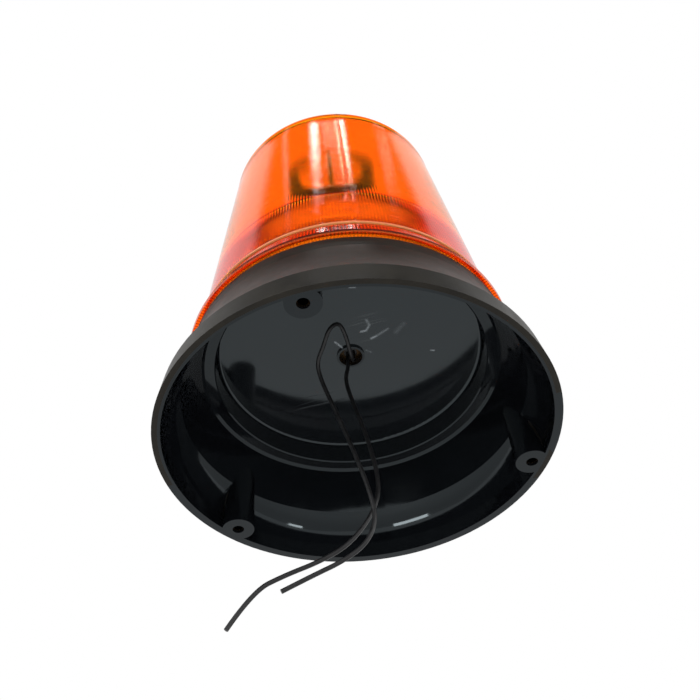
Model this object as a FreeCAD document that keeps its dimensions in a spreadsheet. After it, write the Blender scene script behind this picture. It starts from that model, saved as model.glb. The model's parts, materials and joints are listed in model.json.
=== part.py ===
import FreeCAD, Part
import math
import os
import Sketcher

# Rotating beacon: a bell-shaped base that is screwed down from below, a motor-driven reflector that
# turns round a fixed lamp, and an amber lens that lifts off. Millimetres, +Z up, origin at the middle
# of the rim's lower face.

SIZES = {
    # base: rim, flared side, collar, deck
    "rim_radius": 85.0,
    "rim_face": 3.6,
    "rim_draft": 2.0,
    "flange_height": 11.4,
    "flange_step": 1.3,
    "flange_shoulder": 0.8,
    "flare_top": 38.6,
    "flare_curve": 90.0,
    "flare_reach": 13.6,
    "flare_end_step": 0.6,
    "collar_height": 44.5,
    "lip_height": 7.6,
    "cove_inset": 10.4,
    "cove_height": 21.4,
    "cove_curve": 34.0,
    "ledge_inset": 6.0,
    "ledge_drop": 3.3,
    "ledge_chamfer": 1.2,
    "throat_inset": 10.8,
    "throat_chamfer": 0.5,
    "throat_step": 0.6,
    "deck_height": 52.0,
    "deck_thickness": 3.0,
    "drum_wall": 4.0,
    "drum_chamfer": 0.8,
    "drum_fillet": 1.5,
    "plinth_radius": 16.0,
    "plinth_height": 5.0,
    "nozzle_radius": 6.3,
    "nozzle_height": 1.0,
    # bosses for the fixing screws and their brass inserts
    "boss_inset": 7.4,
    "boss_radius": 7.2,
    "boss_count": 3,
    "boss_drop": 2.0,
    "insert_radius": 3.5,
    "insert_length": 10.0,
    "insert_bore": 2.1,
    "insert_recess": 1.5,
    "screw_entry_radius": 2.6,
    # lens
    "foot_overhang": 1.4,
    "foot_thickness": 2.6,
    "skirt_inset": 1.0,
    "bead_inset": 3.2,
    "bead_rise": 13.3,
    "bead_size": 0.8,
    "lens_taper": 15.0,
    "lens_headroom": 5.9,
    "lens_edge": 2.6,
    "lens_wall": 2.6,
    "lens_shoulder": 2.0,
    "lens_crown": 2.4,
    "rib_band_height": 29.6,
    "rib_band_slope": 1.0,
    "rib_band_depth": 0.7,
    "key_count": 3,
    "key_width": 6.0,
    "key_depth": 1.5,
    "key_clearance": 0.4,
    "gasket_thickness": 1.2,
    "gasket_width": 5.0,
    "seat_clearance": 0.3,
    # lamp post
    "post_radius": 6.0,
    "journal_radius": 5.0,
    "post_bore": 3.0,
    "post_tail_radius": 5.2,
    "post_flange_radius": 13.0,
    "post_flange_thickness": 2.5,
    "shoulder_rise": 37.0,
    "post_tip": 2.0,
    "tail_recess": 3.0,
    "post_screw_count": 3,
    "post_screw_bite": 5.0,
    "grommet_recess": 0.4,
    "grommet_length": 6.0,
    "lead_hole_rise": 10.0,
    "lead_hole_radius": 1.6,
    # gear pair
    "tooth_module": 0.8,
    "gear_teeth": 84,
    "pinion_teeth": 12,
    "pressure_angle": 20.0,
    "tooth_backlash": 0.2,
    "gear_thickness": 5.0,
    "gear_rise": 2.5,
    "gear_web": 2.6,
    "gear_rim": 4.0,
    "hub_radius": 10.0,
    "hub_wall": 2.0,
    "hub_length": 12.0,
    "carrier_margin": 7.0,
    "carrier_edge": 1.5,
    "carrier_screw_count": 3,
    "washer_thickness": 1.0,
    "washer_radius": 9.0,
    "bush_wall": 1.5,
    "running_clearance": 0.05,
    "press_clearance": 0.02,
    "clip_thickness": 0.8,
    "clip_radius": 8.0,
    "clip_mouth_inset": 1.5,
    "clip_rise": 0.15,
    "clip_groove": 0.8,
    "groove_rise": 0.1,
    "groove_play": 0.1,
    "pinion_length": 8.0,
    "pinion_overlap": 0.9,
    # motor and bracket
    "motor_radius": 12.2,
    "motor_length": 29.5,
    "can_edge": 1.0,
    "motor_wall": 0.8,
    "cap_thickness": 2.2,
    "cap_chamfer": 0.8,
    "cap_plug": 1.2,
    "terminal_length": 3.0,
    "terminal_inside": 1.0,
    "terminal_reach": 7.5,
    "terminal_width": 2.2,
    "terminal_thickness": 0.5,
    "magnet_thickness": 2.4,
    "magnet_margin": 4.5,
    "armature_gap": 0.5,
    "armature_slot": 1.6,
    "armature_margin": 1.0,
    "commutator_radius": 3.0,
    "commutator_rise": 1.6,
    "shaft_radius": 1.0,
    "shaft_reach": 12.5,
    "shaft_tail": 1.0,
    "motor_nose_radius": 3.4,
    "motor_nose_height": 1.2,
    "pillar_height": 35.5,
    "bracket_thickness": 1.5,
    "bracket_reach": 24.0,
    "bracket_margin": 0.8,
    "bracket_shoulder": 1.0,
    "bracket_slope": 4.0,
    "bracket_end_radius": 6.0,
    "pillar_radius": 4.0,
    "motor_screw_reach": 8.5,
    # reflector and its carrier
    "reflector_vertex": 39.0,
    "dish_radius": 44.0,
    "reflector_front": 27.0,
    "reflector_width": 42.0,
    "reflector_tall": 50.0,
    "reflector_cut": 13.0,
    "reflector_drop": 17.0,
    "reflector_wall": 1.4,
    "reflector_skirt": 1.0,
    "reflector_rise": 37.6,
    "reflector_rib": 1.8,
    "reflector_rib_height": 1.2,
    "reflector_rib_margin": 3.0,
    "foot_width": 14.0,
    "foot_drop": 9.0,
    "arm_thickness": 2.4,
    "arm_root": 24.0,
    "arm_start": 4.0,
    "arm_heel": 0.6,
    "arm_heel_run": 1.6,
    "rest_turn": 10.0,
    # lamp socket and bulb
    "socket_radius": 8.4,
    "socket_wall": 0.7,
    "socket_height": 16.0,
    "pin_clearance": 0.2,
    "pin_slot_reach": 4.0,
    "pin_entry_turn": 22.0,
    "pin_lock_turn": 10.0,
    "insulator_thickness": 2.2,
    "contact_radius": 2.4,
    "contact_height": 1.0,
    "contact_slope": 1.0,
    "cap_radius": 7.5,
    "cap_height": 19.0,
    "bulb_cap_chamfer": 1.5,
    "pin_level": 6.7,
    "pin_radius": 1.0,
    "pin_reach": 9.0,
    "bulb_radius": 12.6,
    "neck_inset": 0.8,
    "neck_height": 1.0,
    "bulb_length": 52.5,
    "glass_wall": 0.7,
    "filament_level": 38.5,
    "stem_height": 10.0,
    "stem_radius": 4.4,
    "stem_tip": 1.6,
    "filament_wire": 0.25,
    "filament_coil": 0.6,
    "filament_spread": 2.8,
    "bulb_side_curve": 22.0,
    # fasteners
    "screw_radius": 1.5,
    "screw_head_radius": 2.9,
    "screw_head_height": 1.9,
    "screw_slot": 0.8,
    "small_screw_radius": 1.2,
    "small_head_radius": 2.2,
    "small_head_height": 1.4,
    "screw_end_gap": 1.0,
    "motor_screw_bite": 1.5,
    "hole_clearance": 0.1,
    "cut_spare": 1.0,
    "pilot_depth": 9.0,
    # leads
    "lead_diameter": 1.8,
    "inner_lead_diameter": 1.4,
    "lead_spacing": 1.3,
}

V = FreeCAD.Vector
UP = V(0, 0, 1)
doc = FreeCAD.newDocument("rotating_beacon")
sheet = doc.addObject("Spreadsheet::Sheet", "Sizes")
for row, (name, value) in enumerate(SIZES.items(), 1):
    sheet.set(f"A{row}", name)
    sheet.set(f"B{row}", str(value))
    sheet.setAlias(f"B{row}", name)
doc.recompute()


class Size:
    """A length that knows its number and the sheet expression that gives it."""

    def __init__(self, value, text):
        self.value = float(value)
        self.text = text

    def join(self, other, sign, value):
        return Size(value, f"({self.text} {sign} {as_size(other).text})")

    def __add__(self, other):
        return self.join(other, "+", self.value + as_size(other).value)

    def __sub__(self, other):
        return self.join(other, "-", self.value - as_size(other).value)

    def __mul__(self, other):
        return self.join(other, "*", self.value * as_size(other).value)

    def __truediv__(self, other):
        return self.join(other, "/", self.value / as_size(other).value)

    def __neg__(self):
        return Size(-self.value, f"(0 - {self.text})")


def as_size(item):
    return item if isinstance(item, Size) else Size(item, repr(float(item)))


class Sheet:
    """The sheet's cells by name, each as a Size."""

    def __getattr__(self, name):
        return Size(getattr(sheet, name), f"Sizes.{name}")


S = Sheet()
pieces = []


def keep(thing, label):
    """Takes an object as a finished piece under the name of its node."""
    thing.Label = label
    pieces.append(thing)
    return thing


def bind(thing, **sizes):
    """Binds properties of an object to sizes; a double underscore stands for a dot."""
    for path, size in sizes.items():
        thing.setExpression(path.replace("__", "."), as_size(size).text)
    return thing


def place(thing, x=0, y=0, z=0):
    return bind(thing, Placement__Base__x=x, Placement__Base__y=y, Placement__Base__z=z)


def turn(thing, angle, axis=UP, centre=V(0, 0, 0)):
    thing.Placement = FreeCAD.Placement(V(0, 0, 0), FreeCAD.Rotation(axis, angle), centre)
    return thing


def round_axis(thing, radius, angle, level=0, spin=0):
    """Places an object at a radius and an angle, in degrees, round Z."""
    turn(thing, angle + spin)
    along = f"cos({angle:.6f} deg)"
    across = f"sin({angle:.6f} deg)"
    radius = as_size(radius)
    return place(thing, radius * Size(math.cos(math.radians(angle)), along),
                 radius * Size(math.sin(math.radians(angle)), across), level)


def cylinder(name, radius, height, x=0, y=0, z=0):
    rod = bind(doc.addObject("Part::Cylinder", name), Radius=radius, Height=height)
    return place(rod, x, y, z)


def box(name, length, width, height, x=0, y=0, z=0):
    """A box centred on x and y, standing on z."""
    block = bind(doc.addObject("Part::Box", name), Length=length, Width=width, Height=height)
    return place(block, as_size(x) - as_size(length) / 2, as_size(y) - as_size(width) / 2, z)


def fused(name, things):
    union = doc.addObject("Part::MultiFuse", name)
    union.Shapes = things
    union.Refine = True
    return union


def cut(name, base, tool):
    difference = doc.addObject("Part::Cut", name)
    difference.Base = base
    difference.Tool = tool if not isinstance(tool, list) else fused(name + "_tools", tool)
    return difference


def group(name, things):
    bundle = doc.addObject("Part::Compound", name)
    bundle.Links = things
    return bundle


def spun(thing, angle):
    """The object turned round Z by an angle, from where it stands."""
    return turn(group(thing.Name + "_spun", [thing]), angle)


def new_body(name):
    return doc.addObject("PartDesign::Body", name)


def origin_item(body, role):
    return [item for item in body.Origin.OriginFeatures if item.Role == role][0]


def new_sketch(body, name, plane, lift=None):
    sketch = body.newObject("Sketcher::SketchObject", name)
    sketch.AttachmentSupport = [(origin_item(body, plane), "")]
    sketch.MapMode = "FlatFace"
    if lift is not None:
        bind(sketch, AttachmentOffset__Base__z=lift)
    return sketch


def pin_point(sketch, geometry, end, across, up):
    """Fixes a point of a sketch by its two distances from the sketch's origin."""
    for kind, axis, size in (("DistanceX", -2, across), ("DistanceY", -1, up)):
        size = as_size(size)
        if size.text == "0.0":
            sketch.addConstraint(Sketcher.Constraint("PointOnObject", geometry, end, axis))
            continue
        index = sketch.addConstraint(Sketcher.Constraint(kind, -1, 1, geometry, end, size.value))
        name = f"{kind}_{geometry}_{end}"
        sketch.renameConstraint(index, name)
        sketch.setExpression("Constraints." + name, size.text)


def pin_radius(sketch, geometry, radius):
    index = sketch.addConstraint(Sketcher.Constraint("Radius", geometry, as_size(radius).value))
    sketch.renameConstraint(index, f"Radius_{geometry}")
    sketch.setExpression(f"Constraints.Radius_{geometry}", as_size(radius).text)


def outline(sketch, corners):
    """Closes an outline through corners (across, up) or (across, up, radius, side): the last form is
    reached by an arc, bulging to the left of the way along the outline with side 1, to the right with -1."""
    points = [V(as_size(corner[0]).value, as_size(corner[1]).value, 0) for corner in corners]
    ends = []
    for index, corner in enumerate(corners):
        start, end = points[index - 1], points[index]
        if len(corner) == 2:
            geometry = sketch.addGeometry(Part.LineSegment(start, end))
            ends.append((geometry, 1, 2))
            continue
        chord = end - start
        radius = as_size(corner[2]).value
        side = corner[3]
        rise = radius - math.sqrt(radius ** 2 - (chord.Length / 2) ** 2)
        middle = (start + end) / 2 + V(-chord.y, chord.x, 0).normalize() * rise * side
        if side < 0:
            geometry = sketch.addGeometry(Part.Arc(start, middle, end))
            ends.append((geometry, 1, 2))
        else:
            geometry = sketch.addGeometry(Part.Arc(end, middle, start))
            ends.append((geometry, 2, 1))
    for index in range(len(corners)):
        before, this = ends[index - 1], ends[index]
        sketch.addConstraint(Sketcher.Constraint("Coincident", before[0], before[2], this[0], this[1]))
    for (geometry, _, last), corner in zip(ends, corners):
        pin_point(sketch, geometry, last, corner[0], corner[1])
        if len(corner) > 2:
            pin_radius(sketch, geometry, corner[2])
    return sketch


def circle(sketch, radius, across=0, up=0):
    centre = V(as_size(across).value, as_size(up).value, 0)
    geometry = sketch.addGeometry(Part.Circle(centre, UP, as_size(radius).value))
    pin_point(sketch, geometry, 3, across, up)
    pin_radius(sketch, geometry, radius)
    return sketch


def revolve(body, name, corners, kind="Revolution"):
    """Turns an outline in the XZ plane all the way round Z."""
    sketch = outline(new_sketch(body, name + "_outline", "XZ_Plane"), corners)
    feature = body.newObject("PartDesign::" + kind, name)
    feature.Profile = sketch
    feature.ReferenceAxis = (sketch, ["V_Axis"])
    feature.Angle = 360
    return feature


def pad(body, name, sketch, length):
    feature = body.newObject("PartDesign::Pad", name)
    feature.Profile = sketch
    return bind(feature, Length=length)


def pocket(body, name, sketch, depth, upward=True):
    """Cuts a sketch's outline into the body, and makes sure that it took material away."""
    doc.recompute()
    before = body.Shape.Volume
    feature = body.newObject("PartDesign::Pocket", name)
    feature.Profile = sketch
    feature.Reversed = upward
    bind(feature, Length=depth)
    doc.recompute()
    assert body.Shape.Volume < before - 0.01, name + " cut nothing"
    return feature


def repeat_round(body, name, feature, count):
    pattern = body.newObject("PartDesign::PolarPattern", name)
    pattern.Originals = [feature]
    pattern.Axis = (origin_item(body, "Z_Axis"), [""])
    pattern.Angle = 360
    bind(pattern, Occurrences=count)
    body.Tip = pattern
    return pattern


def turned(label, corners):
    """A piece that is one outline turned round Z."""
    body = new_body(label)
    revolve(body, label + "_turning", corners)
    return keep(body, label)


def screw(name, radius, length, head_radius, head_height):
    """A slotted screw with its head's seat at the origin and its head up."""
    shank = cylinder(name + "_shank", radius, length, z=-as_size(length))
    head = cylinder(name + "_head", head_radius, head_height)
    slot = box(name + "_slot", as_size(head_radius) * 2.2, S.screw_slot, head_height,
               z=as_size(head_height) / 2)
    return fused(name, [shank, cut(name + "_slotted", head, slot)])


# Levels and radii that several pieces share.
deck_top = S.deck_height + S.deck_thickness
plinth_top = deck_top + S.plinth_height
collar_radius = S.rim_radius - S.flare_reach
cove_radius = S.rim_radius - S.cove_inset
ledge_radius = collar_radius - S.ledge_inset
ledge_level = S.collar_height - S.ledge_drop
throat_radius = collar_radius - S.throat_inset
boss_circle = S.rim_radius - S.boss_inset
boss_height = ledge_level - S.ledge_chamfer - S.boss_drop
drum_inside = throat_radius - S.throat_step
drum_radius = drum_inside + S.drum_wall
gasket_top = S.collar_height + S.gasket_thickness
foot_level = gasket_top + S.seat_clearance
foot_radius = collar_radius + S.foot_overhang
skirt_radius = collar_radius - S.skirt_inset
bead_radius = collar_radius - S.bead_inset
bead_level = foot_level + S.bead_rise
rib_band_top = bead_level + S.rib_band_height
lens_top_radius = bead_radius - S.lens_taper
flange_side = S.rim_radius - S.rim_draft
centre_distance = S.tooth_module * (S.gear_teeth + S.pinion_teeth) / 2
bracket_level = deck_top + S.pillar_height
bracket_top = bracket_level + S.bracket_thickness
motor_level = bracket_level - S.motor_length
shoulder_level = deck_top + S.shoulder_rise
hub_level = shoulder_level + S.washer_thickness
hub_top = hub_level + S.hub_length
gear_level = hub_level + S.gear_rise
gear_top = gear_level + S.gear_thickness
post_top = hub_top + S.post_tip
lead_hole_level = plinth_top + S.lead_hole_rise
lamp_level = post_top + S.socket_wall + S.insulator_thickness + S.contact_height
post_screw_circle = (S.post_flange_radius + S.post_radius) / 2
carrier_circle = S.hub_radius + S.carrier_margin
reflector_centre = lamp_level + S.reflector_rise
lens_top = reflector_centre + S.reflector_tall / 2 + S.lens_headroom
reflector_bottom = reflector_centre - S.reflector_tall / 2
arm_face = S.reflector_front + S.arm_thickness
grommet_level = S.deck_height - S.nozzle_height + S.tail_recess + S.grommet_recess
magnet_low = motor_level + S.magnet_margin
magnet_high = bracket_level - S.motor_wall - S.magnet_margin
magnet_outside = S.motor_radius - S.motor_wall - S.press_clearance
magnet_inside = magnet_outside - S.magnet_thickness

# Outer side of the base, from the rim's lower edge up to the collar's top edge.
outer_side = [
    (flange_side, S.flange_height),
    (flange_side - S.flange_step, S.flange_height + S.flange_shoulder),
    (collar_radius + S.flare_end_step, S.flare_top, S.flare_curve, 1),
    (collar_radius, S.collar_height),
]


def make_base():
    """Bell with its deck and drum, the bosses inside its rim and the seats on top of its deck."""
    body = new_body("base_housing")
    revolve(body, "base_shell", [(S.rim_radius, 0)] + outer_side + [
        (drum_radius, S.collar_height),
        (drum_radius, deck_top - S.drum_chamfer),
        (drum_radius - S.drum_chamfer, deck_top),
        (S.plinth_radius, deck_top),
        (S.plinth_radius, plinth_top),
        (S.post_tail_radius + S.hole_clearance, plinth_top),
        (S.post_tail_radius + S.hole_clearance, S.deck_height - S.nozzle_height),
        (S.nozzle_radius, S.deck_height - S.nozzle_height),
        (S.nozzle_radius, S.deck_height),
        (drum_inside - S.drum_fillet, S.deck_height),
        (drum_inside, S.deck_height - S.drum_fillet, S.drum_fillet, 1),
        (throat_radius, ledge_level + S.throat_chamfer),
        (throat_radius + S.throat_chamfer, ledge_level),
        (ledge_radius, ledge_level),
        (ledge_radius + S.ledge_chamfer, ledge_level - S.ledge_chamfer),
        (cove_radius, S.cove_height),
        (S.rim_radius - S.rim_face, S.lip_height, S.cove_curve, 1),
        (S.rim_radius - S.rim_face, 0),
    ])
    circles = circle(new_sketch(body, "boss_circle_sketch", "XY_Plane"), S.boss_radius, 0, -boss_circle)
    boss = pad(body, "boss", circles, boss_height)
    repeat_round(body, "bosses", boss, S.boss_count)
    outside = S.rim_radius + S.boss_radius
    revolve(body, "outside_trim",
            [(S.rim_radius, 0)] + outer_side + [(outside, S.collar_height), (outside, 0)],
            "Groove")
    entry = circle(new_sketch(body, "screw_entry_sketch", "XY_Plane"), S.screw_entry_radius, 0, -boss_circle)
    entry_hole = pocket(body, "screw_entry", entry, S.insert_recess)
    repeat_round(body, "screw_entries", entry_hole, S.boss_count)
    insert_hole = circle(new_sketch(body, "insert_hole_sketch", "XY_Plane", S.insert_recess),
                         S.insert_radius + S.press_clearance, 0, -boss_circle)
    hole = pocket(body, "insert_hole", insert_hole, S.insert_length + S.cut_spare)
    repeat_round(body, "insert_holes", hole, S.boss_count)
    slot = new_sketch(body, "key_slot_sketch", "XY_Plane", S.collar_height)
    half = S.key_width / 2 + S.key_clearance
    floor = drum_radius - S.key_depth - S.key_clearance
    past = drum_radius + S.cut_spare
    outline(slot, [(floor, -half), (past, -half), (past, half), (floor, half)])
    key_slot = pocket(body, "key_slot", slot, S.deck_thickness + deck_top - S.collar_height)
    repeat_round(body, "key_slots", key_slot, S.key_count)
    pillars = new_sketch(body, "pillar_sketch", "XY_Plane", deck_top)
    for side in (-1, 1):
        circle(pillars, S.pillar_radius, S.bracket_reach * side, centre_distance)
    pad(body, "pillars", pillars, bracket_level - deck_top)
    pilots = new_sketch(body, "pilot_sketch", "XY_Plane", bracket_level)
    for side in (-1, 1):
        circle(pilots, S.screw_radius + S.press_clearance, S.bracket_reach * side, centre_distance)
    pocket(body, "pilots", pilots, S.pilot_depth, False)
    post_pilot = circle(new_sketch(body, "post_pilot_sketch", "XY_Plane", plinth_top),
                        S.screw_radius + S.press_clearance, 0, post_screw_circle)
    pilot = pocket(body, "post_pilot", post_pilot, S.post_screw_bite + S.cut_spare, False)
    repeat_round(body, "post_pilots", pilot, S.post_screw_count)
    return keep(body, "base_housing")


def make_inserts():
    """Brass inserts with a knurled band, one in each boss."""
    inserts = []
    for index in range(int(S.boss_count.value)):
        sleeve = cut(f"insert_{index}", cylinder(f"insert_sleeve_{index}", S.insert_radius, S.insert_length),
                     cylinder(f"insert_thread_{index}", S.insert_bore, S.insert_length))
        angle = 360 * index / S.boss_count.value - 90
        inserts.append(round_axis(sleeve, boss_circle, angle, S.insert_recess))
    return keep(group("fixing_inserts", inserts), "fixing_inserts")


def lens_radius_at(height):
    """Outer radius of the lens's straight taper at a height above the bead."""
    slope = (bead_radius - lens_top_radius) / (lens_top - bead_level)
    return bead_radius - slope * (as_size(height) - bead_level)


def dome_radius(edge, rise):
    """Radius of the sphere that rises so far over an edge of so wide a radius."""
    return (edge * edge + rise * rise) / (rise * 2)


def make_lens():
    """Tapering dome with its foot flange, bead, thick rib band and closed top."""
    body = new_body("lens")
    under_top = lens_top - S.lens_wall
    edge_level = lens_top - S.lens_edge
    crown_edge = lens_radius_at(edge_level) - S.lens_edge
    crown = dome_radius(crown_edge, S.lens_crown)
    under_edge = lens_top_radius - S.lens_wall * 2
    under_edge_level = under_top - S.lens_shoulder
    clear_bottom = rib_band_top + S.rib_band_slope
    under_crown = dome_radius(under_edge, S.lens_crown)
    bead_low = bead_level - S.bead_size
    bead_high = bead_level + S.bead_size
    foot_inside = drum_radius + S.key_clearance
    revolve(body, "lens_wall_turning", [
        (foot_radius, foot_level),
        (foot_radius, foot_level + S.foot_thickness),
        (skirt_radius, foot_level + S.foot_thickness),
        (bead_radius, bead_low),
        (bead_radius, bead_high, S.bead_size * 1.1, -1),
        (lens_radius_at(edge_level), edge_level),
        (crown_edge, lens_top, S.lens_edge * 1.05, -1),
        (0, lens_top + S.lens_crown, crown, -1),
        (0, under_top + S.lens_crown),
        (under_edge, under_top, under_crown, 1),
        (lens_radius_at(under_edge_level) - S.lens_wall, under_edge_level),
        (lens_radius_at(clear_bottom) - S.lens_wall, clear_bottom),
        (lens_radius_at(rib_band_top) - S.lens_wall - S.rib_band_depth, rib_band_top),
        (lens_radius_at(bead_high) - S.lens_wall - S.rib_band_depth, bead_high),
        (bead_radius - S.lens_wall, bead_low),
        (skirt_radius - S.lens_wall, foot_level + S.foot_thickness),
        (foot_inside, foot_level + S.foot_thickness),
        (foot_inside, foot_level),
    ])
    key = new_sketch(body, "lens_key_sketch", "XY_Plane", foot_level)
    half = S.key_width / 2
    inner = drum_radius - S.key_depth
    past = foot_inside + S.cut_spare
    outline(key, [(inner, -half), (past, -half), (past, half), (inner, half)])
    lens_key = pad(body, "lens_key", key, S.foot_thickness)
    repeat_round(body, "lens_keys", lens_key, S.key_count)
    return keep(body, "lens")


def make_gasket():
    inner = drum_radius + S.key_clearance
    return turned("lens_gasket", [
        (inner, S.collar_height),
        (inner + S.gasket_width, S.collar_height),
        (inner + S.gasket_width, gasket_top),
        (inner, gasket_top),
    ])


def make_post():
    """Hollow brass post: tail through the deck, flange, thick tube, and the journal that the gear runs on."""
    body = new_body("lamp_post")
    flange_top = plinth_top + S.post_flange_thickness
    groove = hub_top + S.groove_rise
    groove_top = groove + S.clip_thickness + S.groove_play
    revolve(body, "post_turning", [
        (S.post_tail_radius, S.deck_height - S.nozzle_height + S.tail_recess),
        (S.post_tail_radius, plinth_top),
        (S.post_flange_radius, plinth_top),
        (S.post_flange_radius, flange_top),
        (S.post_radius, flange_top),
        (S.post_radius, shoulder_level),
        (S.journal_radius, shoulder_level),
        (S.journal_radius, groove),
        (S.journal_radius - S.clip_groove, groove),
        (S.journal_radius - S.clip_groove, groove_top),
        (S.journal_radius, groove_top),
        (S.journal_radius, post_top),
        (S.post_bore, post_top),
        (S.post_bore, S.deck_height - S.nozzle_height + S.tail_recess),
    ])
    holes = circle(new_sketch(body, "post_screw_sketch", "XY_Plane", plinth_top),
                   S.screw_radius + S.hole_clearance, 0, post_screw_circle)
    hole = pocket(body, "post_screw_hole", holes, S.post_flange_thickness + S.cut_spare)
    repeat_round(body, "post_screw_holes", hole, S.post_screw_count)
    side_hole = new_sketch(body, "lead_hole_sketch", "XZ_Plane")
    for side in (-1, 1):
        circle(side_hole, S.lead_hole_radius, S.lead_spacing * side, lead_hole_level)
    pocket(body, "lead_holes", side_hole, S.post_radius + S.cut_spare, False)
    return keep(body, "lamp_post")


def toothed(teeth, thickness, phase):
    """A spur-toothed disc with involute flanks, a tooth at the angle phase, in radians."""
    module = S.tooth_module.value
    pressure = math.radians(S.pressure_angle.value)
    pitch = module * teeth / 2
    base = pitch * math.cos(pressure)
    root = pitch - 1.25 * module
    tip = pitch + 0.9 * module

    def half_angle(radius):
        roll = math.acos(min(1.0, base / radius))
        flank = math.tan(pressure) - pressure - (math.tan(roll) - roll)
        return math.pi / 2 / teeth - S.tooth_backlash.value / 4 / pitch + flank

    rises = [root, max(root + 0.25 * module, base), pitch + 0.1 * module, tip]
    corners = []
    for tooth in range(teeth):
        middle = phase + 2 * math.pi * tooth / teeth
        for radius in rises:
            angle = middle - half_angle(radius)
            corners.append(V(radius * math.cos(angle), radius * math.sin(angle), 0))
        for radius in reversed(rises):
            angle = middle + half_angle(radius)
            corners.append(V(radius * math.cos(angle), radius * math.sin(angle), 0))
    wire = Part.makePolygon(corners + [corners[0]])
    return Part.Face(wire).extrude(V(0, 0, thickness))


def make_gear():
    """Toothed rim, thin web with lightening holes, and a hub bored for the bush."""
    teeth = int(S.gear_teeth.value)
    rim = doc.addObject("Part::Feature", "gear_teeth_rim")
    rim.Shape = toothed(teeth, S.gear_thickness.value, math.pi / 2)
    place(rim, z=gear_level)
    rim_inside = S.tooth_module * S.gear_teeth / 2 - S.gear_rim
    web_cut = (S.gear_thickness - S.gear_web) / 2
    tools = []
    for level in (gear_level, gear_top - web_cut):
        ring = cylinder("web_recess", rim_inside, web_cut, z=level)
        tools.append(cut("web_ring", ring, cylinder("web_core", S.hub_radius + S.hub_wall, web_cut, z=level)))
    hub = cylinder("gear_hub", S.hub_radius, hub_top - hub_level, z=hub_level)
    bore = cylinder("gear_bore", S.journal_radius + S.running_clearance + S.bush_wall, hub_top, z=0)
    blank = fused("gear_blank", [cut("gear_webbed", rim, tools), hub])
    pilots = []
    for index in range(int(S.carrier_screw_count.value)):
        pilot = cylinder(f"carrier_pilot_{index}", S.screw_radius + S.press_clearance,
                         S.gear_thickness + S.cut_spare * 2)
        pilots.append(round_axis(pilot, carrier_circle, carrier_screw_angle(index), gear_level - S.cut_spare))
    return keep(cut("drive_gear", blank, [bore] + pilots), "drive_gear")


def carrier_screw_angle(index):
    return 360 * index / S.carrier_screw_count.value + 90 + S.rest_turn.value


def make_gear_bush():
    """Bronze bush pressed into the gear's hub, running on the post's journal."""
    inner = S.journal_radius + S.running_clearance
    outer = inner + S.bush_wall - S.press_clearance
    return turned("gear_bush", [(inner, hub_level), (outer, hub_level), (outer, hub_top), (inner, hub_top)])


def make_thrust_washer():
    inner = S.journal_radius + S.hole_clearance
    return turned("thrust_washer", [
        (inner, shoulder_level),
        (S.washer_radius, shoulder_level),
        (S.washer_radius, hub_level),
        (inner, hub_level),
    ])


def make_clip():
    """Open clip that snaps into the post's groove above the hub."""
    level = hub_top + S.clip_rise
    ring = cut("clip_ring", cylinder("clip_disc", S.clip_radius, S.clip_thickness, z=level),
               cylinder("clip_eye", S.journal_radius - S.clip_groove + S.press_clearance,
                        S.clip_thickness, z=level))
    mouth = box("clip_mouth", S.clip_radius, S.journal_radius * 1.3, S.clip_thickness,
                x=S.clip_radius / 2 + S.clip_mouth_inset, z=level)
    return keep(cut("post_clip", ring, mouth), "post_clip")


def make_carrier():
    """Ring on the gear's face with an arm that slopes up and out to the reflector's foot."""
    ring_radius = carrier_circle + S.screw_head_radius + S.carrier_edge
    ring = cylinder("carrier_ring", ring_radius, S.arm_thickness, z=gear_top)
    eye = cylinder("carrier_eye", S.hub_radius + S.hole_clearance, S.arm_thickness, z=gear_top)
    body = new_body("carrier_arm")
    side = new_sketch(body, "arm_side_sketch", "YZ_Plane", -(S.foot_width / 2))
    foot_top = reflector_bottom - S.seat_clearance
    face = -arm_face
    outline(side, [
        (-(carrier_circle - S.arm_start), gear_top),
        (-(carrier_circle - S.arm_start), gear_top + S.arm_thickness),
        (-S.arm_root, gear_top + S.arm_thickness),
        (face + S.arm_thickness, reflector_bottom - S.foot_drop),
        (face + S.arm_thickness, foot_top),
        (face, foot_top),
        (face, reflector_bottom - S.foot_drop - S.arm_heel),
        (-(S.arm_root + S.arm_heel_run), gear_top),
    ])
    pad(body, "arm_pad", side, S.foot_width)
    holes = [eye]
    for index in range(int(S.carrier_screw_count.value)):
        hole = cylinder(f"carrier_hole_{index}", S.screw_radius + S.hole_clearance, S.arm_thickness)
        angle = carrier_screw_angle(index) - S.rest_turn.value
        holes.append(round_axis(hole, carrier_circle, angle, gear_top))
    for x, z in reflector_screw_spots():
        hole = cylinder("foot_hole", S.small_screw_radius + S.press_clearance, S.arm_thickness * 3)
        turn(hole, 90, V(1, 0, 0))
        holes.append(place(hole, x, face + S.arm_thickness * 2, z))
    whole = cut("reflector_carrier", fused("carrier_blank", [ring, body]), holes)
    return keep(turn(whole, S.rest_turn.value), "reflector_carrier")


def reflector_screw_spots():
    level = reflector_bottom - S.foot_drop / 2
    return [(S.foot_width * 0.28 * side, level) for side in (-1, 1)]


def make_carrier_screws():
    screws = []
    for index in range(int(S.carrier_screw_count.value)):
        fastener = screw(f"carrier_screw_{index}", S.screw_radius,
                         S.arm_thickness + S.gear_thickness - S.screw_end_gap,
                         S.screw_head_radius, S.screw_head_height)
        screws.append(round_axis(fastener, carrier_circle, carrier_screw_angle(index),
                                 gear_top + S.arm_thickness, 35 * index))
    return keep(group("carrier_screws", screws), "carrier_screws")


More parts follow.
